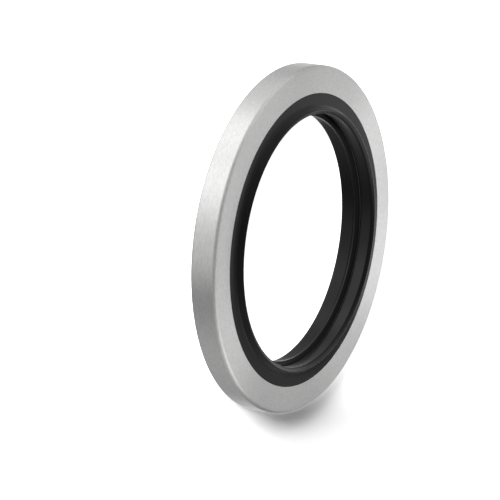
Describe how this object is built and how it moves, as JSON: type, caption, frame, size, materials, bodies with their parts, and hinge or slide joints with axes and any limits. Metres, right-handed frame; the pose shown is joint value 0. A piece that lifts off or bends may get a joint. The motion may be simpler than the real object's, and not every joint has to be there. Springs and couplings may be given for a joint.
{
  "type": "bonded sealing washer",
  "caption": "Flat metal sealing washer with a rubber seal bonded into its bore, a raised lip on each face and a thin centring fin inside the hole.",
  "frame": {"origin": "on the ring's axis, at the crest of the lower lip, where the washer rests on the table", "axes": "+Z along the ring's axis, the way the thread passes through; X and Y lie in the ring's plane"},
  "size_m": [0.0318, 0.0318, 0.0036],
  "materials": {
    "metal_ring": "satin zinc plating with a fine grain",
    "rubber_seal": "smooth moulded black rubber with a low sheen"
  },
  "bodies": {
    "root": {"metal_ring": "metal_ring", "rubber_seal": "rubber_seal"}
  },
  "joints": []
}
